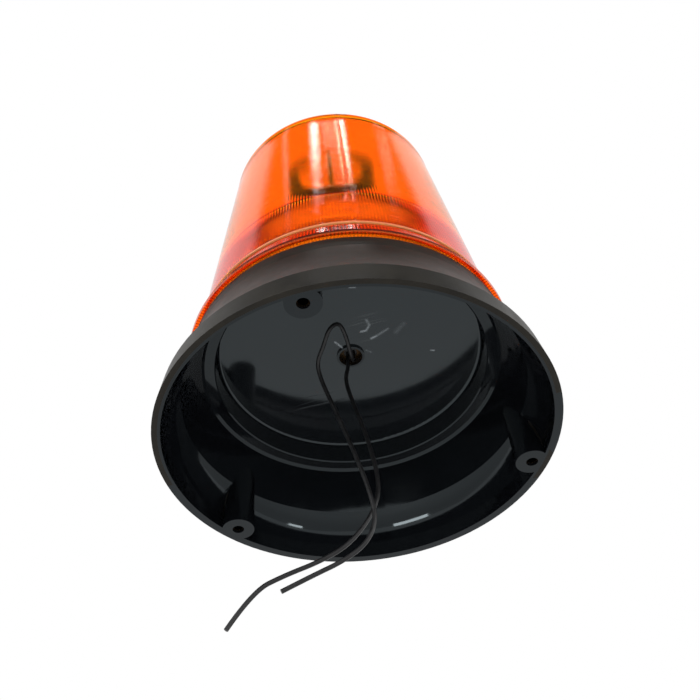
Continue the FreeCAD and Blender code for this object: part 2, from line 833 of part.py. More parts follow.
def reflector_prism(name, inset):
    """Prism along Y with the reflector's outline: a tall rectangle whose four corners are cut off."""
    body = new_body(name)
    sketch = new_sketch(body, name + "_sketch", "XZ_Plane")
    half = S.reflector_width / 2 - inset
    tall = S.reflector_tall / 2 - inset
    side = half - S.reflector_cut + as_size(inset) * 0.6
    drop = tall - S.reflector_drop + as_size(inset) * 0.6
    middle = reflector_centre
    rounding = S.reflector_cut * 1.6
    outline(sketch, [
        (side, middle + tall), (half, middle + drop, rounding, 1), (half, middle - drop),
        (side, middle - tall, rounding, 1), (-side, middle - tall), (-half, middle - drop, rounding, 1),
        (-half, middle + drop), (-side, middle + tall, rounding, 1),
    ])
    pad(body, name + "_pad", sketch, S.reflector_vertex * 2)
    return body


def ball(name, radius):
    """Sphere about the point that the dish's curve is struck from."""
    sphere = bind(doc.addObject("Part::Sphere", name), Radius=radius)
    return place(sphere, 0, S.dish_radius - S.reflector_vertex, reflector_centre)


def common(name, things):
    shared = doc.addObject("Part::MultiCommon", name)
    shared.Shapes = things
    return shared


def make_reflector():
    """Metallised dish with a short skirt, a rib up its back and a foot that is screwed to the arm."""
    room = S.reflector_vertex * 2
    front = box("dish_front", room, room, room * 2,
                0, -(S.reflector_front + room / 2), reflector_centre - room)
    hollow = box("dish_hollow", room, room, room * 2,
                 0, -(S.reflector_front - S.reflector_skirt + room / 2), reflector_centre - room)
    outer = common("dish_outside",
                   [ball("dish_back", S.dish_radius), reflector_prism("dish_outline", 0), front])
    inner = common("dish_inside", [ball("dish_face", S.dish_radius - S.reflector_wall),
                                   reflector_prism("dish_opening", S.reflector_wall), hollow])
    shell = cut("dish_shell", outer, inner)
    rib_room = box("rib_room", S.reflector_rib, room, S.reflector_tall - S.reflector_rib_margin * 2,
                   0, -(S.reflector_front + room / 2), reflector_bottom + S.reflector_rib_margin)
    rib_back = ball("rib_back", S.dish_radius + S.reflector_rib_height)
    rib = cut("dish_rib", common("rib_outside", [rib_back, rib_room]),
              ball("rib_seat", S.dish_radius - S.reflector_wall / 2))
    tab = box("reflector_tab", S.foot_width, S.reflector_wall, S.foot_drop + S.reflector_wall / 2,
              0, -(arm_face + S.reflector_wall / 2), reflector_bottom - S.foot_drop)
    holes = []
    for index, (x, z) in enumerate(reflector_screw_spots()):
        hole = cylinder(f"tab_hole_{index}", S.small_screw_radius + S.hole_clearance, S.reflector_wall * 3)
        turn(hole, 90, V(1, 0, 0))
        holes.append(place(hole, x, -(arm_face - S.reflector_wall), z))
    whole = cut("reflector", fused("reflector_blank", [shell, rib, tab]), holes)
    return keep(turn(whole, S.rest_turn.value), "reflector")


def make_reflector_screws():
    screws = []
    head_seat = -(arm_face + S.reflector_wall)
    for index, (x, z) in enumerate(reflector_screw_spots()):
        fastener = screw(f"reflector_screw_{index}", S.small_screw_radius,
                         S.reflector_wall + S.arm_thickness, S.small_head_radius, S.small_head_height)
        turn(fastener, 90, V(1, 0, 0))
        screws.append(place(fastener, x, head_seat, z))
    bundle = group("reflector_screws", screws)
    return keep(turn(bundle, S.rest_turn.value), "reflector_screws")


def at_motor(thing, z=0):
    return place(thing, 0, centre_distance, z)


def motor_turned(label, corners):
    """A piece turned round the motor's own axis."""
    return at_motor(turned(label, corners))


def make_motor_can():
    """Drawn steel can with a raised nose round the shaft hole and an open lower end."""
    inner = S.motor_radius - S.motor_wall
    nose_top = bracket_level + S.motor_nose_height
    can = motor_turned("motor_can", [
        (inner, motor_level),
        (S.motor_radius, motor_level),
        (S.motor_radius, bracket_level - S.can_edge),
        (S.motor_radius - S.can_edge, bracket_level, S.can_edge, -1),
        (S.motor_nose_radius, bracket_level),
        (S.motor_nose_radius, nose_top),
        (S.shaft_radius + S.running_clearance, nose_top),
        (S.shaft_radius + S.running_clearance, bracket_level - S.motor_wall),
        (inner, bracket_level - S.motor_wall),
    ])
    holes = new_sketch(can, "motor_face_holes", "XY_Plane", bracket_level)
    for side in (-1, 1):
        circle(holes, S.small_screw_radius + S.press_clearance, S.motor_screw_reach * side, 0)
    pocket(can, "motor_face_hole", holes, S.motor_wall + S.cut_spare, False)
    return can


def make_motor_cap():
    """Insulating end cap that closes the can, bored for the shaft and slotted for the terminals."""
    inner = S.shaft_radius + S.running_clearance
    plug = S.motor_radius - S.motor_wall - S.press_clearance
    cap = motor_turned("motor_cap", [
        (inner, motor_level - S.cap_thickness),
        (S.motor_radius - S.cap_chamfer, motor_level - S.cap_thickness),
        (S.motor_radius, motor_level - S.cap_thickness + S.cap_chamfer),
        (S.motor_radius, motor_level),
        (plug, motor_level),
        (plug, motor_level + S.cap_plug),
        (inner, motor_level + S.cap_plug),
    ])
    slots = new_sketch(cap, "terminal_slots", "XY_Plane", motor_level - S.cap_thickness)
    for side in (-1, 1):
        left = S.terminal_reach * side - S.terminal_width / 2 - S.press_clearance
        right = S.terminal_reach * side + S.terminal_width / 2 + S.press_clearance
        half = S.terminal_thickness / 2 + S.press_clearance
        outline(slots, [(left, -half), (right, -half), (right, half), (left, half)])
    pocket(cap, "terminal_slot", slots, S.cap_thickness + S.cut_spare * 2)
    return cap


def make_terminals():
    """Two brass tabs that come out of the end cap."""
    tabs = []
    for side in (-1, 1):
        tab = box(f"terminal_{side + 1}", S.terminal_width, S.terminal_thickness,
                  S.terminal_length + S.cap_thickness + S.terminal_inside,
                  S.terminal_reach * side, centre_distance, motor_level - S.cap_thickness - S.terminal_length)
        tabs.append(tab)
    return keep(group("motor_terminals", tabs), "motor_terminals")


def make_magnets():
    """Two arc magnets against the can's wall."""
    ring = cut("magnet_ring", cylinder("magnet_outer", magnet_outside, magnet_high - magnet_low),
               cylinder("magnet_inner", magnet_inside, magnet_high - magnet_low))
    gap = box("magnet_gap", magnet_outside * 2, S.motor_radius * 0.9, magnet_high - magnet_low)
    return keep(at_motor(cut("motor_magnets", ring, gap), magnet_low), "motor_magnets")


def make_shaft():
    """Motor shaft with the armature's stack and commutator on it."""
    low = motor_level - S.cap_thickness - S.shaft_tail
    return motor_turned("motor_shaft", [
        (0, low),
        (S.shaft_radius, low),
        (S.shaft_radius, bracket_level + S.shaft_reach),
        (0, bracket_level + S.shaft_reach),
    ])


def make_armature():
    """Wound stack of the armature in three lobes, with its commutator below."""
    stack_radius = magnet_inside - S.armature_gap
    stack_height = magnet_high - magnet_low - S.armature_margin * 2
    stack_level = magnet_low + S.armature_margin
    commutator_level = motor_level + S.commutator_rise
    slots = []
    stack = cylinder("armature_stack", stack_radius, stack_height, z=stack_level)
    for index in range(3):
        gap = box(f"armature_slot_{index}", stack_radius, S.armature_slot, stack_height,
                  stack_radius, 0, stack_level)
        slots.append(spun(gap, 120 * index + 60))
    commutator = cylinder("commutator", S.commutator_radius, stack_level - commutator_level,
                          z=commutator_level)
    bore = cylinder("armature_bore", S.shaft_radius + S.press_clearance, bracket_level)
    blank = fused("armature_blank", [cut("armature_lobes", stack, slots), commutator])
    return keep(at_motor(cut("motor_armature", blank, bore)), "motor_armature")


def make_pinion():
    teeth = int(S.pinion_teeth.value)
    blank = doc.addObject("Part::Feature", "pinion_teeth_blank")
    phase = math.pi / teeth - math.pi / 2
    blank.Shape = toothed(teeth, S.pinion_length.value, phase)
    bore = cylinder("pinion_bore", S.shaft_radius + S.press_clearance, S.pinion_length)
    level = gear_top + S.pinion_overlap - S.pinion_length
    return keep(at_motor(cut("pinion", blank, bore), level), "pinion")


def make_bracket():
    """Pressed steel strip between the pillars, with round ends and holes for motor and screws."""
    body = new_body("motor_bracket")
    strip = new_sketch(body, "bracket_sketch", "XY_Plane", bracket_level)
    reach = S.bracket_reach
    end = S.bracket_end_radius
    wide = S.motor_radius + S.bracket_margin
    shoulder = S.motor_radius + S.bracket_shoulder
    neck = shoulder - S.bracket_slope
    outline(strip, [
        (-reach, -end),
        (-shoulder, -end),
        (-neck, -wide),
        (neck, -wide),
        (shoulder, -end),
        (reach, -end),
        (reach, end, end * 1.0001, -1),
        (shoulder, end),
        (neck, wide),
        (-neck, wide),
        (-shoulder, end),
        (-reach, end),
    ])
    pad(body, "bracket_pad", strip, S.bracket_thickness)
    holes = new_sketch(body, "bracket_holes_sketch", "XY_Plane", bracket_level)
    circle(holes, S.motor_nose_radius + S.hole_clearance)
    for side in (-1, 1):
        circle(holes, S.screw_radius + S.hole_clearance, reach * side, 0)
        circle(holes, S.small_screw_radius + S.hole_clearance, S.motor_screw_reach * side, 0)
    pocket(body, "bracket_holes", holes, S.bracket_thickness + S.cut_spare)
    return keep(at_motor(body), "motor_bracket")


def make_bracket_screws():
    screws = []
    for side in (-1, 1):
        fastener = screw(f"bracket_screw_{side + 1}", S.screw_radius,
                         S.pilot_depth - S.screw_end_gap + S.bracket_thickness,
                         S.screw_head_radius, S.screw_head_height)
        turn(fastener, 50 * side)
        screws.append(place(fastener, S.bracket_reach * side, centre_distance, bracket_top))
    return keep(group("bracket_screws", screws), "bracket_screws")


def make_motor_screws():
    screws = []
    for side in (-1, 1):
        fastener = screw(f"motor_screw_{side + 1}", S.small_screw_radius,
                         S.bracket_thickness + S.motor_screw_bite,
                         S.small_head_radius, S.small_head_height)
        turn(fastener, 20 + 60 * side)
        screws.append(place(fastener, S.motor_screw_reach * side, centre_distance, bracket_top))
    return keep(group("motor_screws", screws), "motor_screws")


def make_post_screws():
    screws = []
    count = int(S.post_screw_count.value)
    for index in range(count):
        fastener = screw(f"post_screw_{index}", S.screw_radius, S.post_flange_thickness + S.post_screw_bite,
                         S.screw_head_radius, S.screw_head_height)
        screws.append(round_axis(fastener, post_screw_circle, 360 * index / count + 90,
                                 plinth_top + S.post_flange_thickness, 25 * index))
    return keep(group("post_screws", screws), "post_screws")


def make_grommet():
    """Rubber plug in the post's lower end that the two leads come out of."""
    return turned("lead_grommet", [
        (0, grommet_level),
        (S.post_bore - S.press_clearance, grommet_level),
        (S.post_bore - S.press_clearance, grommet_level + S.grommet_length),
        (0, grommet_level + S.grommet_length),
    ])


def make_socket_shell():
    """Brass cup on the post's top, with two slots that the bulb's pins turn into."""
    inner = S.socket_radius - S.socket_wall
    top = post_top + S.socket_height
    cup = turned("socket_cup", [
        (S.post_bore, post_top),
        (S.socket_radius, post_top),
        (S.socket_radius, top),
        (inner, top),
        (inner, post_top + S.socket_wall),
        (S.post_bore, post_top + S.socket_wall),
    ])
    pieces.remove(cup)
    width = (S.pin_radius + S.pin_clearance) * 2
    seat = lamp_level + S.pin_level - S.pin_radius - S.pin_clearance
    tools = []
    for index in range(2):
        entry = box(f"pin_entry_{index}", S.pin_slot_reach, width, top - seat, S.socket_radius, 0, seat)
        tools.append(spun(entry, 180 * index + S.pin_entry_turn.value))
        lock = box(f"pin_lock_{index}", S.pin_slot_reach, width * 2.2, width, S.socket_radius, 0, seat)
        tools.append(spun(lock, 180 * index + S.pin_lock_turn.value))
    return keep(cut("socket_shell", cup, tools), "socket_shell")


def make_insulator():
    outer = S.socket_radius - S.socket_wall - S.press_clearance
    level = post_top + S.socket_wall
    inner = S.inner_lead_diameter / 2 + S.hole_clearance
    return turned("socket_insulator", [
        (inner, level),
        (outer, level),
        (outer, level + S.insulator_thickness),
        (inner, level + S.insulator_thickness),
    ])


def make_contact():
    """Centre contact with a rounded tip under the bulb's cap."""
    low = post_top + S.socket_wall + S.insulator_thickness
    return turned("socket_contact", [
        (0, low),
        (S.contact_radius, low),
        (S.contact_radius, low + S.contact_height / 2),
        (S.contact_radius - S.contact_slope, low + S.contact_height),
        (0, low + S.contact_height),
    ])


def make_bulb_cap():
    """Brass cap with its two side pins."""
    body = turned("bulb_cap_tube", [
        (0, lamp_level),
        (S.cap_radius - S.bulb_cap_chamfer, lamp_level),
        (S.cap_radius, lamp_level + S.bulb_cap_chamfer),
        (S.cap_radius, lamp_level + S.cap_height),
        (0, lamp_level + S.cap_height),
    ])
    pieces.remove(body)
    pin = cylinder("bulb_pins", S.pin_radius, S.pin_reach * 2)
    turn(pin, 90, V(0, 1, 0))
    place(pin, -S.pin_reach, 0, lamp_level + S.pin_level)
    return keep(fused("bulb_cap", [body, pin]), "bulb_cap")


def make_bulb_glass():
    """Pear-shaped glass, hollow."""
    base = lamp_level + S.cap_height
    top = lamp_level + S.bulb_length
    neck = S.cap_radius - S.neck_inset
    neck_top = base + S.neck_height
    middle = top - S.bulb_radius
    wall = S.glass_wall
    return turned("bulb_glass", [
        (neck, base),
        (neck, neck_top),
        (S.bulb_radius, middle, S.bulb_side_curve, -1),
        (0, top, S.bulb_radius, -1),
        (0, top - wall),
        (S.bulb_radius - wall, middle, S.bulb_radius - wall, 1),
        (neck - wall, neck_top, S.bulb_side_curve, 1),
        (neck - wall, base),
    ])


def make_bulb_stem():
    """Glass stem that carries the filament's supports."""
    base = lamp_level + S.cap_height
    return turned("bulb_stem", [
        (0, base),
        (S.stem_radius, base),
        (S.stem_radius / 2, base + S.stem_height * 0.4),
        (S.stem_tip, base + S.stem_height),
        (0, base + S.stem_height),
    ])


def make_filament():
    """Coil on its two support wires."""
    level = lamp_level + S.filament_level
    base = lamp_level + S.cap_height + S.stem_height
    reach = S.filament_spread + S.filament_wire
    wires = []
    for side in (-1, 1):
        leg = cylinder(f"filament_leg_{side + 1}", S.filament_wire, level - base,
                       S.filament_spread * side, 0, base)
        foot = cylinder(f"filament_foot_{side + 1}", S.filament_wire, reach)
        turn(foot, 90 * side, V(0, 1, 0))
        place(foot, 0, 0, base + S.filament_wire)
        wires += [leg, foot]
    coil = cylinder("filament_coil", S.filament_coil, reach * 2)
    turn(coil, 90, V(0, 1, 0))
    place(coil, -reach, 0, level)
    return keep(fused("bulb_filament", wires + [coil]), "bulb_filament")


def tube(label, points, diameter):
    """A lead: straight runs joined by tangent arcs, each as large as its two runs allow."""
    corners = [V(*point) for point in points]
    edges = []
    radii = []
    here = corners[0]
    for before, corner, after in zip(corners, corners[1:], corners[2:]):
        into = (corner - before).normalize()
        out = (after - corner).normalize()
        half = into.getAngle(out) / 2
        reach = 0.45 * min((corner - before).Length, (after - corner).Length)
        radii.append(reach / math.tan(half))
        start = corner - into * reach
        end = corner + out * reach
        inward = (out - into).normalize()
        middle = corner + inward * (radii[-1] / math.cos(half) - radii[-1])
        edges.append(Part.LineSegment(here, start).toShape())
        edges.append(Part.Arc(start, middle, end).toShape())
        here = end
    edges.append(Part.LineSegment(here, corners[-1]).toShape())
    path = Part.Wire(edges)
    ring = Part.Wire(Part.makeCircle(diameter / 2, corners[0], corners[1] - corners[0]))
    solid = path.makePipeShell([ring], True, False)
    expected = math.pi * diameter ** 2 / 4 * path.Length
    print(f"{label}: length {path.Length:.1f} mm, tightest radius {min(radii):.1f} mm "
          f"({min(radii) / diameter:.1f} diameters), volume {solid.Volume / expected:.4f} of expected")
    assert abs(solid.Volume / expected - 1) < 0.01, label + " is pinched"
    thing = doc.addObject("Part::Feature", label)
    thing.Shape = solid
    return keep(thing, label)


def make_leads():
    """The two free leads, from the grommet down out of the bell, then those inside."""
    low = grommet_level.value
    deck = S.deck_height.value
    gap = S.lead_spacing.value
    tube("lead_live", [
        (gap, 0, low), (gap, 0, deck - 5.2), (1.8, -8.5, deck - 8.7), (2.6, -18.5, deck - 7.8),
        (2.2, -28.5, deck - 8.8), (-2.2, -30, deck - 12.8), (-6.5, -24, deck - 16.2),
        (-11.5, -18.5, deck - 19.7),
        (-11, -13.5, deck - 26.2), (-8, -9, deck - 37.2), (-4.3, -6, deck - 51.2), (-0.6, -4, deck - 66.2),
        (2.7, -2, deck - 82.2), (3.6, -0.2, deck - 93.7), (-0.6, -0.8, deck - 104.2),
        (-10, -2, deck - 110.8), (-21.5, -3.8, deck - 115.4), (-33, -6.4, deck - 121.2),
    ], S.lead_diameter.value)
    tube("lead_return", [
        (-gap, 0, low), (-gap, 0, deck - 6.2), (-3.6, 0.4, deck - 13.2), (-2.4, 1.2, deck - 23.2),
        (0.6, 2.6, deck - 37.2), (3.4, 4.2, deck - 52.2), (5.2, 5.2, deck - 68.2), (4.4, 5.4, deck - 79.2),
        (-0.6, 4.2, deck - 90.7), (-9.2, 2.2, deck - 101.4), (-20, 0.2, deck - 107.2),
        (-32.6, -3.6, deck - 112.6), (-43.6, -7, deck - 118.8), (-52.6, -9.6, deck - 134.2),
    ], S.lead_diameter.value)
    inner = S.inner_lead_diameter.value
    hole = lead_hole_level.value
    target = motor_level.value - S.cap_thickness.value - S.terminal_length.value / 2
    for name, side in (("motor_lead_live", 1), ("motor_lead_return", -1)):
        reach = S.terminal_reach.value * side
        y_end = centre_distance.value - S.terminal_thickness.value / 2
        tube(name, [
            (gap * side, 2.2, hole), (gap * side, 7.5, hole), (gap * side * 1.4, 13.5, hole - 2),
            (reach * 0.6, 20, target + 4), (reach * 0.88, 27, target - 0.2), (reach, y_end - 4.5, target),
            (reach, y_end, target),
        ], inner)
    top = post_top + S.socket_wall + S.insulator_thickness
    lamp_lead = cylinder("lamp_lead", S.inner_lead_diameter / 2, top - grommet_level - S.grommet_length,
                         z=grommet_level + S.grommet_length)
    keep(lamp_lead, "lamp_lead")


def check_document():
    for thing in doc.Objects:
        for word in ("Invalid", "Error"):
            assert word not in thing.State, f"{thing.Name} is {thing.State}"
    for piece in pieces:
        assert not piece.Shape.isNull() and piece.Shape.isValid(), piece.Label + " has a bad shape"
        assert piece.Shape.Volume > 0, piece.Label + " is empty"


def main():
    make_base()
    make_inserts()
    make_lens()
    make_gasket()
    make_post()
    make_post_screws()
    make_grommet()
    make_thrust_washer()
    make_clip()
    make_gear()
    make_gear_bush()
    make_carrier()
    make_carrier_screws()
    make_reflector()
    make_reflector_screws()
    make_motor_can()
    make_motor_cap()
    make_terminals()
    make_magnets()
    make_shaft()
    make_armature()
    make_pinion()
    make_bracket()
    make_bracket_screws()
    make_motor_screws()
    make_socket_shell()
    make_insulator()
    make_contact()
    make_bulb_cap()
    make_bulb_glass()
    make_bulb_stem()
    make_filament()
    make_leads()
    doc.recompute()
    check_document()
    os.makedirs("parts", exist_ok=True)
    for piece in pieces:
        piece.Shape.exportStep(f"parts/{piece.Label}.step")
        extent = piece.Shape.BoundBox
        print(f"{piece.Label}: {len(piece.Shape.Solids)} solids, {piece.Shape.Volume:.0f} mm3, "
              f"z {extent.ZMin:.1f} to {extent.ZMax:.1f}")


main()
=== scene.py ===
import json
import math

import bpy
from mathutils import Matrix, Vector


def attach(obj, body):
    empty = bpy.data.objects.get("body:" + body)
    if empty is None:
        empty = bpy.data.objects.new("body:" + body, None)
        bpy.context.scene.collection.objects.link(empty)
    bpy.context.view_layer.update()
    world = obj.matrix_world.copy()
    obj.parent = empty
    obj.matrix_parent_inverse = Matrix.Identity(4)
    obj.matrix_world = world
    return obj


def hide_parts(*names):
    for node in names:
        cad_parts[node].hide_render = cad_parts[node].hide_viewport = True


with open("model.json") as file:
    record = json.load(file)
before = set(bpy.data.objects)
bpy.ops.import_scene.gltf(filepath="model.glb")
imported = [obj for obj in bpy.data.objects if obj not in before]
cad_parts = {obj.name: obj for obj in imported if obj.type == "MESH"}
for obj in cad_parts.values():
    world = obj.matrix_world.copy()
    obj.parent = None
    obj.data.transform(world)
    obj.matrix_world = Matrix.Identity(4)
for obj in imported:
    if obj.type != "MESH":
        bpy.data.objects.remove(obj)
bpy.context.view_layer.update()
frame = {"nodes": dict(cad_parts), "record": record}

MM = 0.001

# Sizes of the lens, in millimetres, as on the part.
FOOT_RADIUS, FOOT_LOW, FOOT_HIGH = 72.8, 46.0, 48.6
SKIRT_RADIUS, BEAD_RADIUS, BEAD_LEVEL, BEAD_SIZE = 70.4, 68.2, 59.3, 0.8
TOP_RADIUS, TOP_LEVEL, CROWN, EDGE = 53.2, 179.4, 2.4, 2.6
WALL, BAND_TOP, BAND_DEPTH = 2.6, 88.9, 0.7
BORE_RADIUS, KEY_RADIUS, KEY_WIDTH, KEY_COUNT = 64.4, 62.5, 6.0, 3
FOOT_ROUND, SKIRT_RISE, BEAD_PROUD, EDGE_ROUND, CROWN_ROUND = 0.3, 0.4, 0.7, 1.0, 0.6
CENTRE_RADIUS, UNDER_DROP, BAND_SLOPE = 0.4, 2.0, 1.0
RIB_COUNT, STEPS_PER_RIB = 288, 4
SEAM_ANGLE, SEAM_PROUD, SEAM_HALF_ANGLE = -73.0, 0.16, 0.45

# Routes of the two free leads, in millimetres: where each lies from the grommet to its cut end.
GROMMET_FACE = 54.4
LEAD_DIAMETER = 1.8
LEAD_ROUTES = {
    "lead_live": [
        (1.3, 0, 0), (1.3, 0, -7.6), (1.8, -8.5, -11.1), (2.6, -18.5, -10.2), (2.2, -28.5, -11.2),
        (-2.2, -30, -15.2), (-6.5, -24, -18.6), (-11.5, -18.5, -22.1), (-11, -13.5, -28.6), (-8, -9, -39.6),
        (-4.3, -6, -53.6), (-0.6, -4, -68.6), (2.7, -2, -84.6), (3.6, -0.2, -96.1), (-0.6, -0.8, -106.6),
        (-10, -2, -113.2), (-21.5, -3.8, -117.8), (-33, -6.4, -123.6),
    ],
    "lead_return": [
        (-1.3, 0, 0), (-1.3, 0, -8.6), (-3.6, 0.4, -15.6), (-2.4, 1.2, -25.6), (0.6, 2.6, -39.6),
        (3.4, 4.2, -54.6), (5.2, 5.2, -70.6), (4.4, 5.4, -81.6), (-0.6, 4.2, -93.1), (-9.2, 2.2, -103.8),
        (-20, 0.2, -109.6), (-32.6, -3.6, -115), (-43.6, -7, -121.2), (-52.6, -9.6, -136.6),
    ],
}

# The reflector's middle and how far it stands turned, as on the part.
REFLECTOR_CENTRE, REST_TURN = 148.5, 10.0

# White stress marks on the deck, in millimetres: from, to, half width and strength.
STRESS_MARKS = [
    ((12.3, -18.4), (12.8, -15.0), 0.9, 0.5), ((12.8, -15.0), (10.6, -12.4), 0.8, 0.8),
    ((10.6, -12.4), (8.3, -12.4), 0.9, 1.0), ((11.6, -7.1), (14.2, -7.8), 0.9, 0.9),
    ((14.2, -7.8), (20.0, -10.2), 0.9, 0.45), ((-4.4, -10.2), (-2.2, -5.8), 0.7, 1.0),
    ((23.0, -7.2), (27.4, -10.9), 1.6, 0.15), ((7.5, -1.1), (9.4, 0.9), 0.5, 0.35),
    ((35.6, 8.8), (37.0, 9.4), 0.6, 1.0), ((10.0, -38.3), (12.4, -37.6), 0.6, 0.8),
]
DECK_LEVEL, DECK_RADIUS = 52.0, 60.2
GATE_MARK, GATE_RADIUS = (38.0, 10.1, DECK_LEVEL), 0.8

# The bell's outer skin lies beyond this radius, which shrinks with height, in metres.
SKIN_RADIUS, SKIN_SLOPE = 0.0826, -0.35

# Where the reflector's edge, rib and foot are painted dark as painted shade, for the dark that the mirror
# would reflect there, in metres from its middle: how far the painted dark part starts and is full.
PAINTED_DARK_SIDE, PAINTED_DARK_END, PAINTED_DARK_CORNER = (0.0170, 0.0190), (0.0195, 0.0212), (0.0222, 0.0242)
PAINTED_DARK_TOP, PAINTED_DARK_SHOULDER, PAINTED_DARK_RIB = (0.0145, 0.0168), (0.0192, 0.0214), (0.0007, 0.0011)
CORNER_SLOPE, PAINTED_DARK_UNEVEN = 0.76, 0.005

# Height in metres under which the brass post is painted nearly black as painted shade, where it shows below
# the lens down in the bell.
PAINTED_SHADE_LEVEL = 0.0545

# The photograph's camera: its place in metres, and its right, down and forward directions.
CAMERA_PLACE = (0.0579, -0.2903, -0.2677)
CAMERA_RIGHT = (0.9611, 0.2676, -0.0680)
CAMERA_DOWN = (-0.2425, 0.7001, -0.6716)
CAMERA_FORWARD = (-0.1321, 0.6620, 0.7378)
FOCAL_LENGTH, SENSOR = 49.23, 36.0
FLOOR_LEVEL, FLOOR_HALF = -0.5, 2.5

# Brightness of what glass, and then matt surfaces, see around them, and where the mirrored sheet begins.
SEEN_THROUGH_GLASS, AMBIENT = 1.3, 0.6
SHEET_SIDE, SHEET_FADE, CEILING_FADE = (-0.27, 1.0, 0.0), (0.035, 0.055, 0.03, 0.85), (0.70, 0.85, 0.85, 0.0)

scene = bpy.context.scene
scene.view_settings.view_transform = "Standard"
scene.cycles.max_bounces = 20
scene.cycles.glossy_bounces = 12
scene.cycles.transmission_bounces = 20


class Shader:
    """A material's node tree with short calls for its nodes."""

    def __init__(self, name):
        self.material = bpy.data.materials.new(name)
        self.material.use_nodes = True
        self.nodes = self.material.node_tree.nodes
        self.links = self.material.node_tree.links
        self.surface = self.nodes["Principled BSDF"]

    def add(self, kind, values=None, **options):
        node = self.nodes.new(kind)
        for key, value in options.items():
            setattr(node, key, value)
        for socket, value in (values or {}).items():
            self.give(node, socket, value)
        return node

    def give(self, node, socket, value):
        target = node.inputs[socket]
        if isinstance(value, bpy.types.NodeSocket):
            self.links.new(value, target)
        else:
            target.default_value = value

    def set(self, **values):
        for key, value in values.items():
            self.give(self.surface, key.replace("_", " "), value)
        return self

    def place(self):
        """Coordinates in the part's frame, in metres."""
        return self.add("ShaderNodeTexCoord").outputs["Object"]

    def noise(self, scale, detail=4.0, rough=0.55, stretch=None, distortion=0.0):
        vector = self.place()
        if stretch:
            vector = self.add("ShaderNodeMapping", {"Vector": vector, "Scale": stretch}).outputs[0]
        return self.add("ShaderNodeTexNoise", {
            "Vector": vector, "Scale": scale, "Detail": detail, "Roughness": rough, "Distortion": distortion,
        }).outputs["Fac"]

    def spread(self, value, low, high, start=0.3, end=0.7):
        """Maps a value's range from start to end onto low to high."""
        return self.add("ShaderNodeMapRange", {
            "Value": value, "From Min": start, "From Max": end, "To Min": low, "To Max": high,
        }).outputs["Result"]

    def math(self, operation, first, second=0.0, third=0.0):
        return self.add("ShaderNodeMath", {0: first, 1: second, 2: third}, operation=operation).outputs[0]

    def vector(self, operation, first, second):
        return self.add("ShaderNodeVectorMath", {0: first, 1: second}, operation=operation)

    def most(self, *values):
        """The largest of several numbers at each point."""
        largest = values[0]
        for value in values[1:]:
            largest = self.math("MAXIMUM", largest, value)
        return largest

    def split(self, vector):
        return self.add("ShaderNodeSeparateXYZ", {0: vector}).outputs

    def blend(self, factor, first, second):
        """Mixes two colours."""
        return self.add("ShaderNodeMix", {0: factor, 6: first, 7: second}, data_type="RGBA").outputs[2]

    def mix(self, factor, first, second):
        """Mixes two numbers."""
        return self.add("ShaderNodeMix", {0: factor, 2: first, 3: second}, data_type="FLOAT").outputs[0]

    def bump(self, height, depth, strength=1.0, under=None):
        values = {"Height": height, "Distance": depth, "Strength": strength}
        if under is not None:
            values["Normal"] = under
        return self.add("ShaderNodeBump", values).outputs["Normal"]


def colour(red, green, blue):
    return (red, green, blue, 1.0)


def moulded(name, shade, rough, grain=900.0, depth=0.00002, spread=0.08, tint=0.25):
    """Moulded plastic: even colour with faint flow marks, fine grain and uneven gloss."""
    shader = Shader(name)
    flow = shader.noise(35.0, 5.0, 0.6, stretch=(1, 1, 0.35))
    lighter = tuple(min(1.0, channel * (1 + tint) + 0.002) for channel in shade[:3])
    shader.set(Base_Color=shader.blend(shader.spread(flow, 0.0, 1.0), shade, colour(*lighter)),
               Roughness=shader.spread(flow, rough - spread / 2, rough + spread))
    shader.set(Normal=shader.bump(shader.noise(grain, 3.0), depth))
    return shader


def metal(name, shade, rough, brush=None, depth=0.00001, stain_and_painted_shade=0.18, tarnish=None):
    """Metal with brushing or turning lines, dull patches and fine pits."""
    shader = Shader(name)
    patches = shader.noise(160.0, 6.0, 0.65)
    lines = shader.noise(900.0, 3.0, 0.5, stretch=brush or (1, 1, 1))
    dull = tarnish or colour(*(channel * 0.55 for channel in shade[:3]))
    shader.set(Base_Color=shader.blend(shader.spread(patches, 0.0, stain_and_painted_shade * 3, 0.45, 0.75), shade, dull),
               Metallic=1.0, Roughness=shader.spread(lines, rough * 0.7, rough * 1.5))
    shader.set(Normal=shader.bump(lines, depth))
    return shader


def scratches(shader, scale, angle, stretch, low=0.62):
    """Thin marks along one direction, as a mask."""
    vector = shader.add("ShaderNodeMapping", {
        "Vector": shader.place(), "Rotation": (0, 0, math.radians(angle)), "Scale": stretch,
    }).outputs[0]
    lines = shader.add("ShaderNodeTexNoise", {"Vector": vector, "Scale": scale, "Detail": 2.0}).outputs["Fac"]
    return shader.spread(lines, 0.0, 1.0, low, low + 0.05)


def near(shader, centre, radius, soft=0.5):
    """Mask that is 1 within a radius of a point of the part, in millimetres, and fades beyond it."""
    offset = shader.vector("DISTANCE", shader.place(), tuple(c * MM for c in centre)).outputs["Value"]
    return shader.spread(offset, 1.0, 0.0, radius * MM * (1 - soft), radius * MM)


def stroke(shader, start, end, width):
    """Mask of a line from start to end on the part, in millimetres, that fades towards its edges."""
    start, end = Vector(start) * MM, Vector(end) * MM
    along = end - start
    offset = shader.vector("SUBTRACT", shader.place(), tuple(start)).outputs[0]
    share = shader.vector("DOT_PRODUCT", offset, tuple(along)).outputs["Value"]
    share = shader.math("DIVIDE", share, along.length_squared)
    share = shader.add("ShaderNodeClamp", {"Value": share}).outputs[0]
    nearest = shader.add("ShaderNodeVectorMath", {0: tuple(along), 3: share}, operation="SCALE").outputs[0]
    distance = shader.vector("DISTANCE", offset, nearest).outputs["Value"]
    return shader.spread(distance, 1.0, 0.0, 0.0, width * MM)


